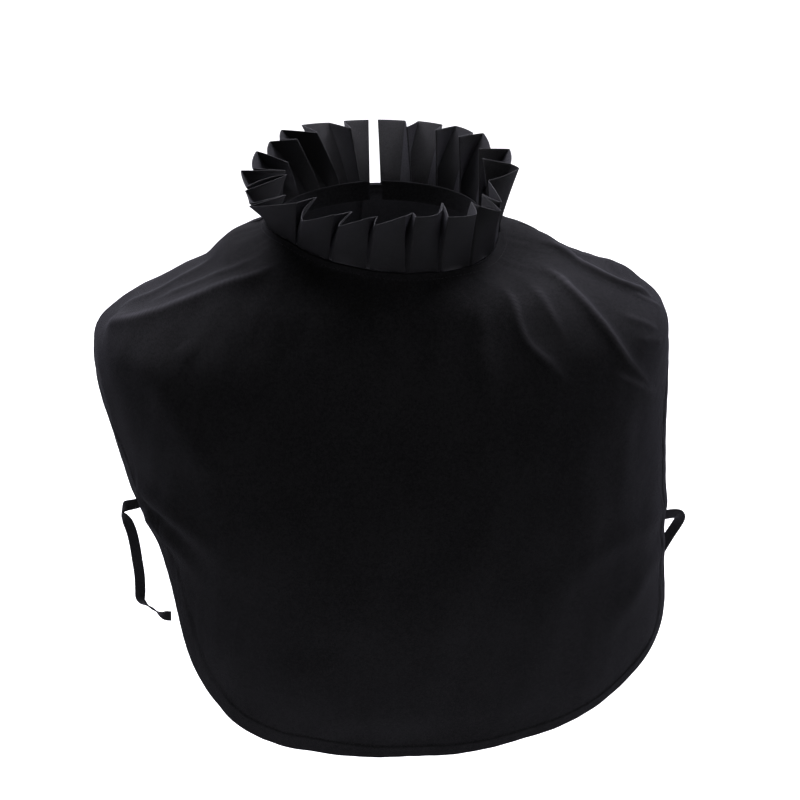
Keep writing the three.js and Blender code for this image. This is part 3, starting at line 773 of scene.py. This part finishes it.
@dataclass
class Ruffle:
    """One strip of cloth in open pleats that stands on the neck seam and leans out.

    Every pleat has an outer face and a wall in to an inner fold, from which a second wall comes
    out to the next pleat. At the seam the walls lie flat behind the faces.
    """

    form: WornForm
    height: float = 41.5
    stack: float = 4.6
    fold: float = 0.8
    pleat_gap: float = 0.9
    under: float = 0.4
    foot_lift: float = 0.15
    flare: float = 1.2
    wall_foot: float = 0.6
    wall_top: float = 0.5
    wall_taper: float = 1.6
    wall_step: float = 0.6
    fold_depth: float = 0.9
    bow_rise: float = 1.5
    rows: int = 26
    face_stops: tuple[float, ...] = (0.0, 0.02, 0.05, 0.12, 0.28, 0.5, 0.72, 0.88, 0.95, 0.98)
    fold_stops: tuple[float, ...] = (0.0, 0.5)
    fold_rounds: int = 3

    def control_line(self) -> tuple[Array, Array, Array]:
        """Fold sides of the whole strip.

        Returns:
            Their points at the seam, their points at the free edge, and the bow of the cloth
            after each of them.
        """
        foot, head, bows = [], [], []
        for i, pleat in enumerate(PLEATS):
            start, end = pleat.seam[0] + self.pleat_gap, pleat.seam[1] - self.pleat_gap
            behind = end - self.under * (end - start)
            face, right_wall, left_wall = pleat.bows
            sides = (
                (start, self.wall_step, pleat.left, -1.0, 0.0), (start, 0.0, pleat.left, 1.0, face),
                (end, 0.0, pleat.right, -1.0, 0.0),
                (end, self.wall_step, pleat.right, 1.0, right_wall),
                (behind, self.stack - self.fold_depth, pleat.inner, -1.0, 0.0),
                (behind, self.stack, pleat.inner, 1.0, left_wall),
            )
            last = i == len(PLEATS) - 1
            for bearing, inset, (turn, reach, z), shift, bow in sides[: 4 if last else 6]:
                above = math.degrees(self.fold / reach) / 2 * shift
                foot.append(self.form.seam(bearing, inset))
                head.append(polar(turn + above, reach, z))
                bows.append(bow)
        return np.array(foot), np.array(head), np.array(bows)

    def levels(self) -> Array:
        """Grid of the strip's middle points, rows rising from the seam to the free edge."""
        foot, top, bows = self.control_line()
        share, bow = [], []
        for k in range(len(foot) - 1):
            stops = self.face_stops if k % 2 else self.fold_stops
            share += [k + s for s in stops]
            bow += [bows[k] * math.sin(math.pi * s) for s in stops]
        share_at = np.array(share + [len(foot) - 1.0])
        bow_at = np.array(bow + [0.0])
        base = np.minimum(share_at.astype(int), len(foot) - 2)
        part = (share_at - base)[:, None]
        rows = []
        for t in np.linspace(0, 1, self.rows + 1):
            plan = foot + (top - foot) * t**self.flare
            plan[:, 2] = foot[:, 2] + self.foot_lift + (top[:, 2] - foot[:, 2] - self.foot_lift) * t
            line = plan[base] * (1 - part) + plan[base + 1] * part
            line += self.side_step(plan, base) * (bow_at * t**self.bow_rise)[:, None]
            rows.append(self.round_folds(line, self.fold_rounds))
        return np.array(rows)

    @staticmethod
    def side_step(plan: Array, base: Array) -> Array:
        """Level direction square to each point's stretch of cloth."""
        run = unit((plan[1:] - plan[:-1]) * np.array([1.0, 1.0, 0.0]))
        return np.stack([run[:, 1], -run[:, 0], np.zeros(len(run))], axis=-1)[base]

    @staticmethod
    def round_folds(line: Array, times: int) -> Array:
        """The line with its folds eased, its ends kept."""
        for _ in range(times):
            line[1:-1] = 0.25 * line[:-2] + 0.5 * line[1:-1] + 0.25 * line[2:]
        return line

    def build(self) -> Piece:
        """The ruffle's mesh, made as one closed pleated sheet."""
        grid = self.levels()
        up = np.linspace(0, 1, self.rows + 1)
        wall = self.wall_foot + (self.wall_top - self.wall_foot) * np.clip(up * self.wall_taper, 0, 1)
        thick = np.repeat(wall[:, None], grid.shape[1], axis=1)
        along = walk(grid[self.rows // 2])
        flat = np.stack(np.broadcast_arrays(along[None, :], up[:, None] * self.height), axis=-1)
        piece = MeshKit.sheet("ruffle_cloth", grid, thick, flat, hemmed=False)
        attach(piece, BODY)
        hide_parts("ruffle")
        return piece


@dataclass
class NeckBand:
    """Narrow band sewn inside the foot of the ruffle."""

    form: WornForm
    wall: float = 1.0
    above: float = 5.0
    below: float = 9.0
    end: float = 176.0
    inset: float = 7.4
    columns: int = 180
    rows: int = 11

    def build(self) -> Piece:
        """The band's mesh, a closed sheet held round the neck."""
        bearing = np.linspace(-self.end, self.end, self.columns + 1)
        drop = np.linspace(self.above, -self.below, self.rows)
        grid = np.repeat(self.form.seam(bearing, self.inset)[None], self.rows, axis=0)
        grid[..., 2] += drop[:, None]
        thick = np.full(grid.shape[:2], self.wall)
        piece = MeshKit.sheet("neck_band_cloth", grid, thick, flat_map(grid))
        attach(piece, BODY)
        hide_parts("neck_band")
        return piece


@dataclass
class Tie:
    """A flat tape sewn to the side edge of the bib, hanging free."""

    name: str
    node: str
    rows: tuple[tuple[float, float, float, float], ...]
    width: float = 7.0
    wall: float = 0.9
    steps: int = 110
    across: int = 6

    def middle(self, count: int) -> tuple[Array, Array]:
        """Points along the tape's middle and the bearing its flat looks to."""
        table = np.array(self.rows, float)
        passed = walk(table[:, :3])
        at = np.linspace(0, passed[-1], count)
        columns = [smooth(passed, table[:, i], at) for i in range(4)]
        return np.stack(columns[:3], axis=-1), columns[3]

    def build(self) -> Piece:
        """The tape's mesh, a closed flat strip along its middle line."""
        line, faces = self.middle(self.steps + 1)
        along = unit(np.gradient(line, axis=0))
        across = unit(np.cross(along, polar(faces, 1.0, 0.0)))
        spread = np.linspace(-0.5, 0.5, self.across + 1) * self.width
        grid = line[:, None, :] + across[:, None, :] * spread[None, :, None]
        flat = np.stack(np.broadcast_arrays(spread[None, :], walk(line)[:, None]), axis=-1)
        thick = np.full(grid.shape[:2], self.wall)
        piece = MeshKit.sheet(self.name, grid, thick, flat)
        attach(piece, BODY)
        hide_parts(self.node)
        return piece


@dataclass
class Button:
    """A plain sewn button with four holes and its thread, on the over half of the back."""

    seat: Triple
    facing: Triple
    radius: float = 5.0
    thick: float = 2.4
    rim: float = 1.0
    dish: float = 0.7
    hole: float = 0.75
    hole_reach: float = 1.25
    sides: int = 64
    hole_sides: int = 16
    edge_round: float = 0.28
    edge_steps: int = 3
    smooth_angle: float = 35.0
    strand: float = 0.17
    strand_side: float = 0.2
    strand_squash: float = 0.42
    strand_sink: float = 0.23

    @classmethod
    def on_back(cls, tilt: float = 0.55, sink: float = 1.2) -> Button:
        """The button on the seat that the solids give it, sunk towards the cloth."""
        low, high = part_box("back_button")
        facing = Vector((0, 1, tilt)).normalized()
        return cls(tuple((low + high) / 2 / MM - facing * sink), tuple(facing))

    def place(self, piece: Piece) -> None:
        """Turn a piece made upright at the origin on to the button's seat, in its mesh."""
        turn = Vector((0, 0, 1)).rotation_difference(Vector(self.facing)).to_matrix().to_4x4()
        move = Matrix.Translation(Vector(self.seat) * MM)
        piece.data.transform(move @ turn @ Matrix.Scale(MM, 4))
        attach(piece, BODY)

    def disc(self) -> Piece:
        """The turned disc, dished on top and pierced."""
        bpy.ops.object.select_all(action="DESELECT")
        bpy.ops.mesh.primitive_cylinder_add(
            vertices=self.sides, radius=self.radius, depth=self.thick, location=(0, 0, self.thick / 2)
        )
        disc = bpy.context.object
        disc.name = "back_button_disc"
        bpy.ops.object.transform_apply(location=True, rotation=True, scale=True)
        bpy.ops.object.mode_set(mode="EDIT")
        bpy.ops.mesh.select_mode(type="FACE")
        bpy.ops.mesh.select_all(action="DESELECT")
        bpy.ops.object.mode_set(mode="OBJECT")
        for face in disc.data.polygons:
            face.select = face.normal.z > 0.9
        bpy.ops.object.mode_set(mode="EDIT")
        bpy.ops.mesh.inset(thickness=self.rim)
        bpy.ops.mesh.inset(thickness=self.dish)
        bpy.ops.transform.translate(value=(0, 0, -self.dish))
        bpy.ops.object.mode_set(mode="OBJECT")
        bevel = disc.modifiers.new("edge", "BEVEL")
        bevel.width = self.edge_round
        bevel.segments = self.edge_steps
        bpy.ops.object.modifier_apply(modifier=bevel.name)
        for x in (-self.hole_reach, self.hole_reach):
            for y in (-self.hole_reach, self.hole_reach):
                self.pierce(disc, x, y)
        bpy.context.view_layer.objects.active = disc
        disc.select_set(True)
        bpy.ops.object.shade_smooth_by_angle(angle=math.radians(self.smooth_angle))
        self.place(disc)
        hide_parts("back_button")
        return disc

    def pierce(self, disc: Piece, x: float, y: float) -> None:
        """Cut one thread hole through the disc."""
        bpy.ops.object.select_all(action="DESELECT")
        bpy.ops.mesh.primitive_cylinder_add(
            vertices=self.hole_sides, radius=self.hole, depth=self.thick * 3,
            location=(x, y, self.thick / 2),
        )
        cutter = bpy.context.object
        cut = disc.modifiers.new("hole", "BOOLEAN")
        cut.operation = "DIFFERENCE"
        cut.solver = "EXACT"
        cut.object = cutter
        bpy.context.view_layer.objects.active = disc
        bpy.ops.object.modifier_apply(modifier=cut.name)
        bpy.data.objects.remove(cutter)

    def thread(self) -> Piece:
        """Strands of thread through the holes, two side by side over each pair of holes."""
        bpy.ops.object.select_all(action="DESELECT")
        strands = []
        level = self.thick - self.dish - self.strand_sink
        for y in (-self.hole_reach, self.hole_reach):
            for side in (-self.strand_side, self.strand_side):
                bpy.ops.mesh.primitive_torus_add(
                    major_segments=24, minor_segments=8, major_radius=self.hole_reach,
                    minor_radius=self.strand, location=(0, y + side, level), rotation=(math.pi / 2, 0, 0),
                )
                strand = bpy.context.object
                strand.scale = (1.0, self.strand_squash, 1.0)
                strands.append(strand)
        for strand in strands:
            strand.select_set(True)
        bpy.context.view_layer.objects.active = strands[0]
        bpy.ops.object.transform_apply(location=True, rotation=True, scale=True)
        bpy.ops.object.join()
        bpy.ops.object.shade_smooth()
        piece = bpy.context.object
        piece.name = "back_button_thread"
        self.place(piece)
        return piece


# Sockets of a colour mix node, by place: share, two colours, and the result
MIX_SHARE, MIX_FIRST, MIX_SECOND, MIX_RESULT = 0, 6, 7, 2


class NodeKit:
    """Short ways to build node groups and materials."""

    def __init__(self, tree: bpy.types.NodeTree) -> None:
        """Start on a node tree."""
        self.tree = tree

    @classmethod
    def group(
        cls, name: str, takes: tuple[str, ...], gives: tuple[str, ...]
    ) -> tuple[NodeKit, bpy.types.Node, bpy.types.Node]:
        """A kit on a new group with number sockets, and the group's input and output nodes.

        Args:
            name: The group's name.
            takes: Names of its inputs.
            gives: Names of its outputs.
        """
        tree = bpy.data.node_groups.new(name, "ShaderNodeTree")
        for side, names in (("INPUT", takes), ("OUTPUT", gives)):
            for socket in names:
                tree.interface.new_socket(socket, in_out=side, socket_type="NodeSocketFloat")
        kit = cls(tree)
        return kit, kit.add("NodeGroupInput"), kit.add("NodeGroupOutput")

    @classmethod
    def material(cls, name: str) -> tuple[NodeKit, bpy.types.Material, bpy.types.Node]:
        """A kit on a new material, the material and its shader."""
        material = bpy.data.materials.new(name)
        material.use_nodes = True
        return cls(material.node_tree), material, material.node_tree.nodes["Principled BSDF"]

    def add(self, kind: str, inputs: dict | None = None, **settings: object) -> bpy.types.Node:
        """A new node with its properties set and its inputs filled."""
        node = self.tree.nodes.new(kind)
        for name, value in settings.items():
            setattr(node, name, value)
        self.fill(node, inputs or {})
        return node

    def fill(self, node: bpy.types.Node, inputs: dict) -> None:
        """Fill a node's inputs by name or place: a socket is linked, a value is written."""
        for key, value in inputs.items():
            if isinstance(value, Socket):
                self.tree.links.new(value, node.inputs[key])
            else:
                node.inputs[key].default_value = value

    def math(self, kind: str, *values: object) -> Socket:
        """A math node's output, from numbers and sockets."""
        return self.add("ShaderNodeMath", dict(enumerate(values)), operation=kind).outputs[0]

    def span(self, inputs: dict) -> Socket:
        """A map range node's output."""
        return self.add("ShaderNodeMapRange", inputs).outputs[0]

    def mix(self, share: Socket, first: object, second: object) -> Socket:
        """A colour between two colours or sockets, at a share from 0 to 1."""
        inputs = {MIX_SHARE: share, MIX_FIRST: colour(first), MIX_SECOND: colour(second)}
        return self.add("ShaderNodeMix", inputs, data_type="RGBA").outputs[MIX_RESULT]


def colour(value: Triple | Socket) -> tuple[float, ...] | Socket:
    """A colour with its opacity; a socket stays as it is."""
    return value if isinstance(value, Socket) else (*value, 1.0)


@dataclass(frozen=True)
class WeaveGroup:
    """Node group for plain-woven cloth read from its flat coordinates."""

    stray_scale: float = 900.0
    stray_tone: float = 0.35
    thread_tone: float = 0.3

    def build(self) -> bpy.types.NodeTree:
        """The group: threads a metre and slub in, thread height and tone out."""
        kit, given, out = NodeKit.group("plain_weave", ("Threads", "Slub"), ("Height", "Tone"))
        uv = kit.add("ShaderNodeUVMap", uv_map="cloth").outputs[0]
        noise = {"Scale": self.stray_scale, "Vector": uv}
        wander = kit.add("ShaderNodeTexNoise", noise, noise_dimensions="2D").outputs[0]
        turns = kit.math("MULTIPLY", given.outputs["Threads"], math.pi)
        stray = kit.math("MULTIPLY", wander, given.outputs["Slub"])
        warp, weft = (
            kit.math("SINE", kit.math("ADD", kit.math("MULTIPLY", way, turns), stray))
            for way in kit.add("ShaderNodeSeparateXYZ", {0: uv}).outputs[:2]
        )
        height = kit.math("MULTIPLY_ADD", kit.math("MULTIPLY", warp, weft), 0.5, 0.5)
        thread = kit.math("MULTIPLY", height, self.thread_tone)
        tone = kit.math("MULTIPLY_ADD", wander, self.stray_tone, thread)
        kit.fill(out, {"Height": height, "Tone": tone})
        return kit.tree


@dataclass(frozen=True)
class WearGroup:
    """Node group for slow changes of tone over a piece and for its fine nap."""

    patch_detail: float = 4.0
    nap_scale: float = 420.0
    nap_detail: float = 3.0

    def build(self) -> bpy.types.NodeTree:
        """The group: patch scale in, tone and nap out."""
        kit, given, out = NodeKit.group("cloth_wear", ("Scale",), ("Tone", "Nap"))
        place = kit.add("ShaderNodeTexCoord").outputs["Object"]
        noises = {
            "Tone": {"Scale": given.outputs["Scale"], "Detail": self.patch_detail},
            "Nap": {"Scale": self.nap_scale, "Detail": self.nap_detail},
        }
        for name, inputs in noises.items():
            noise = kit.add("ShaderNodeTexNoise", {"Vector": place, **inputs}, noise_dimensions="3D")
            kit.fill(out, {name: noise.outputs[0]})
        return kit.tree


@dataclass(frozen=True)
class ClothFinish:
    """Black woven cloth: its colours, gloss, sheen and threads to the metre.

    The tone mixes the deep colour towards the worn one between two values, and a pale colour is painted
    as a highlight along the sharp crests marked on the piece.
    """

    name: str
    deep: Triple
    worn: Triple
    roughness: float
    sheen: float
    threads: float
    relief: float
    specular: float = 0.14
    slub: float = 7.0
    patches: float = 22.0
    # Pale colour painted along sharp crests as a highlight of the light they catch
    painted_highlight: Triple = (0.13, 0.127, 0.138)
    sheen_roughness: float = 0.45
    sheen_tint: Triple = (0.80, 0.80, 1.0)
    patch_share: float = 0.25
    nap_share: float = 0.4
    tone_range: tuple[float, float] = (0.56, 0.74)
    rough_range: tuple[float, float] = (-0.08, 0.06)
    nap_relief: float = 0.6
    bump_depth: float = 0.00025

    def build(self, weave: bpy.types.NodeTree, wear: bpy.types.NodeTree) -> bpy.types.Material:
        """The finish as a material on the shared weave and wear groups."""
        kit, material, shader = NodeKit.material(self.name)
        cloth = kit.add("ShaderNodeGroup", {"Threads": self.threads, "Slub": self.slub}, node_tree=weave)
        patch = kit.add("ShaderNodeGroup", {"Scale": self.patches}, node_tree=wear)
        worn, nap = patch.outputs["Tone"], patch.outputs["Nap"]
        tone = kit.math("ADD", cloth.outputs["Tone"], kit.math("MULTIPLY", worn, self.patch_share))
        tone = kit.math("MULTIPLY_ADD", nap, self.nap_share, tone)
        low, high = self.tone_range
        share = kit.span({"From Min": low, "From Max": high, "Value": tone})
        # Painted highlight: the base colour is lightened towards the pale colour along the marked crests
        painted_highlight_mask = kit.add("ShaderNodeAttribute", attribute_name="painted_highlight_mask").outputs["Fac"]
        smoother, rougher = (self.roughness + change for change in self.rough_range)
        relief = kit.math("ADD", cloth.outputs["Height"], kit.math("MULTIPLY", nap, self.nap_relief))
        bump = {"Strength": self.relief, "Distance": self.bump_depth, "Height": relief}
        base = kit.mix(share, self.deep, self.worn)
        kit.fill(shader, {
            "Base Color": kit.mix(kit.math("MULTIPLY", painted_highlight_mask, worn), base, self.painted_highlight),
            "Roughness": kit.span({"To Min": smoother, "To Max": rougher, "Value": nap}),
            "Normal": kit.add("ShaderNodeBump", bump).outputs[0],
            "Specular IOR Level": self.specular,
            "Sheen Weight": self.sheen,
            "Sheen Roughness": self.sheen_roughness,
            "Sheen Tint": colour(self.sheen_tint),
        })
        return material


@dataclass(frozen=True)
class ButtonFinish:
    """Polished black button with faint rubbed marks."""

    name: str = "polished_button"
    deep: Triple = (0.006, 0.006, 0.007)
    worn: Triple = (0.014, 0.014, 0.016)
    roughness: tuple[float, float] = (0.18, 0.42)
    coat: float = 0.2
    patches: float = 300.0

    def build(self, wear: bpy.types.NodeTree) -> bpy.types.Material:
        """The finish as a material on the shared wear group."""
        kit, material, shader = NodeKit.material(self.name)
        patch = kit.add("ShaderNodeGroup", {"Scale": self.patches}, node_tree=wear)
        low, high = self.roughness
        kit.fill(shader, {
            "Base Color": kit.mix(patch.outputs["Tone"], self.deep, self.worn),
            "Roughness": kit.span({"To Min": low, "To Max": high, "Value": patch.outputs["Nap"]}),
            "Coat Weight": self.coat,
        })
        return material


@dataclass
class Studio:
    """Pale floor, soft light from above and behind, and the camera, in metres."""

    distance: float = 1.6
    yaw: float = 4.0
    depression: float = 21.0
    aim: Triple = (0.00822, -0.04577, -0.1058)
    lens: float = 110.0
    sensor: float = 36.0
    lamps: tuple[tuple[str, Triple, float, float], ...] = (
        ("top_right_panel", (0.9, 1.1, 2.1), 1.6, 56.0),
        ("top_left_panel", (-0.9, 1.1, 2.1), 1.6, 56.0),
        ("back_wall", (0.0, 2.5, 0.6), 2.2, 22.0),
        ("right_panel", (1.9, -0.3, 1.5), 1.2, 5.0),
    )
    lamp_tint: Triple = (1.0, 0.98, 1.10)
    lamp_aim: Triple = (0.0, 0.0, -0.1)
    world_light: float = 0.062
    floor_place: Triple = (0.0, 2.0, -1.0)
    floor_size: float = 14.0
    floor_colour: Triple = (0.86, 0.86, 0.87)
    floor_roughness: float = 0.9

    def floor(self) -> None:
        """A wide pale floor well below the collar."""
        bpy.ops.object.select_all(action="DESELECT")
        bpy.ops.mesh.primitive_plane_add(size=self.floor_size, location=(0, 0, 0))
        floor = bpy.context.object
        floor.name = "floor"
        floor.data.transform(Matrix.Translation(self.floor_place))
        kit, material, shader = NodeKit.material("pale_floor")
        kit.fill(shader, {
            "Base Color": colour(self.floor_colour),
            "Roughness": self.floor_roughness,
            "Emission Color": (1.0, 1.0, 1.0, 1.0),
            "Emission Strength": kit.add("ShaderNodeLightPath").outputs["Is Camera Ray"],
        })
        floor.data.materials.append(material)

    def lamp(self, name: str, place: Triple, size: float, power: float) -> None:
        """A soft square light that looks at the collar."""
        data = bpy.data.lights.new(name, "AREA")
        data.size = size
        data.energy = power
        data.color = self.lamp_tint
        self.stand(name, data, Vector(place), self.lamp_aim)

    @staticmethod
    def stand(name: str, data: bpy.types.ID, place: Vector, aim: Triple) -> Piece:
        """A lamp or camera at a place, looking at a point."""
        thing = bpy.data.objects.new(name, data)
        thing.location = place
        thing.rotation_euler = (Vector(aim) - thing.location).to_track_quat("-Z", "Y").to_euler()
        bpy.context.scene.collection.objects.link(thing)
        return thing

    def world(self) -> None:
        """White surround: bright to the eye, dimmer as light."""
        world = bpy.data.worlds.new("surround")
        bpy.context.scene.world = world
        world.use_nodes = True
        kit = NodeKit(world.node_tree)
        seen = kit.add("ShaderNodeLightPath").outputs["Is Camera Ray"]
        strength = kit.span({"To Min": self.world_light, "To Max": 1.0, "Value": seen})
        sky = world.node_tree.nodes["Background"]
        kit.fill(sky, {"Color": (1.0, 1.0, 1.0, 1.0), "Strength": strength})

    def camera(self) -> None:
        """The camera, in front of the collar at a slight turn and looking down."""
        turn, dip = math.radians(self.yaw), math.radians(self.depression)
        place = Vector((-math.sin(turn) * math.cos(dip), -math.cos(turn) * math.cos(dip), math.sin(dip)))
        data = bpy.data.cameras.new("camera")
        data.lens = self.lens
        data.sensor_width = self.sensor
        bpy.context.scene.camera = self.stand("camera", data, place * self.distance, self.aim)

    def build(self) -> None:
        """Everything round the collar."""
        self.floor()
        for lamp in self.lamps:
            self.lamp(*lamp)
        self.world()
        self.camera()
        bpy.context.scene.view_settings.view_transform = "Standard"


@dataclass
class Bib:
    """The front panel, the two back halves and their stitching."""

    form: WornForm
    front: Panel = field(init=False)
    backs: dict[str, Panel] = field(init=False)

    def __post_init__(self) -> None:
        """Work out the three panels."""
        self.front = Panel(
            self.form, FRONT_EDGE, FRONT_FOLDS, columns=400, middle_rows=80, crowd=0.5,
            hem_rows=FRONT_HEM,
        )
        low = BACK_EDGE[-1][1]
        over, under = (BACK_EDGE + ((end, low, end),) for end in (OVER_END, UNDER_END))
        self.backs = {
            "left": Panel(
                self.form, over, BACK_FOLDS, columns=130, middle_rows=56, mirror=True, seed=5
            ),
            "right": Panel(
                self.form, under, BACK_FOLDS, columns=130, middle_rows=56, seed=7,
                step_in=(162.0, 173.0, 2.7),
            ),
        }

    @staticmethod
    def cloth(panel: Panel, name: str, node: str, flat_size: tuple[float, float]) -> Piece:
        """One panel's mesh as a closed sheet; the pattern's width and length it is given are not used."""
        flat = flat_map(panel.grid)
        piece = MeshKit.sheet(name, panel.grid, panel.thickness, flat, hemmed=False)
        # Marks the painted highlight of the sharp crests on the cloth
        MeshKit.mark(piece, "painted_highlight_mask", panel.painted_highlight_mask)
        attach(piece, BODY)
        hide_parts(node)
        return piece

    def stitching(self) -> list[Piece]:
        """Rows of stitches round the hem of each panel and below the neck seam."""
        sewing = Stitches()
        pieces = []
        panels = {"front": self.front, **{f"back_{side}": half for side, half in self.backs.items()}}
        for name, panel in panels.items():
            pieces.append(sewing.sew(f"stitches_{name}", panel.sewn_lines()))
        return pieces


def dress(pieces: list[Piece], material: bpy.types.Material) -> None:
    """Give pieces one material."""
    for piece in pieces:
        piece.data.materials.clear()
        piece.data.materials.append(material)


FINISHES = (
    ClothFinish(
        "black_bib_cloth", deep=(0.0085, 0.0085, 0.0086), worn=(0.0225, 0.0223, 0.0226),
        roughness=0.9, sheen=0.07, threads=2300.0, relief=0.7,
    ),
    ClothFinish(
        "black_ruffle_cloth", deep=(0.0075, 0.0075, 0.0075), worn=(0.0215, 0.0213, 0.0215),
        roughness=0.55, sheen=0.1, threads=2300.0, relief=1.2, specular=0.4,
    ),
    ClothFinish(
        "black_tape", deep=(0.010, 0.010, 0.011), worn=(0.026, 0.026, 0.028),
        roughness=0.75, sheen=0.1, threads=1500.0, relief=0.7,
    ),
    ClothFinish(
        "black_thread", deep=(0.014, 0.014, 0.0145), worn=(0.036, 0.0355, 0.037),
        roughness=0.6, sheen=0.1, threads=1500.0, relief=0.3,
    ),
)


def main() -> None:
    """Build the collar piece by piece."""
    logging.basicConfig(level=logging.INFO, format="%(message)s")
    weave, wear = WeaveGroup().build(), WearGroup().build()
    bib_cloth, ruffle_cloth, tape, thread_finish = (
        finish.build(weave, wear) for finish in FINISHES
    )
    form = WornForm()
    Studio().build()

    bib = Bib(form)
    front = bib.cloth(bib.front, "front_bib_cloth", "front_bib", FRONT_FLAT)
    LOG.info("front panel: %d faces", len(front.data.polygons))
    backs = [
        bib.cloth(half, f"back_{side}_cloth", f"back_bib_{side}", BACK_FLAT)
        for side, half in bib.backs.items()
    ]
    LOG.info("back halves: %d", len(backs))
    dress([front, *backs], bib_cloth)

    ruffle = Ruffle(form).build()
    LOG.info("ruffle: %d faces", len(ruffle.data.polygons))
    dress([ruffle], ruffle_cloth)
    band = NeckBand(form).build()
    LOG.info("neck band: %d faces", len(band.data.polygons))
    dress([band], bib_cloth)

    ties = [
        Tie("tie_left_tape", "tie_left", TIE_LEFT_ROWS).build(),
        Tie("tie_right_tape", "tie_right", TIE_RIGHT_ROWS).build(),
    ]
    LOG.info("ties: %d", len(ties))
    stitches = bib.stitching()
    LOG.info("stitched rows: %d", len(stitches))
    dress(ties, tape)
    dress(stitches, thread_finish)

    button = Button.on_back()
    disc, thread = button.disc(), button.thread()
    dress([disc], ButtonFinish().build(wear))
    dress([thread], thread_finish)
    LOG.info("button sewn on")


if __name__ == "__main__":
    main()
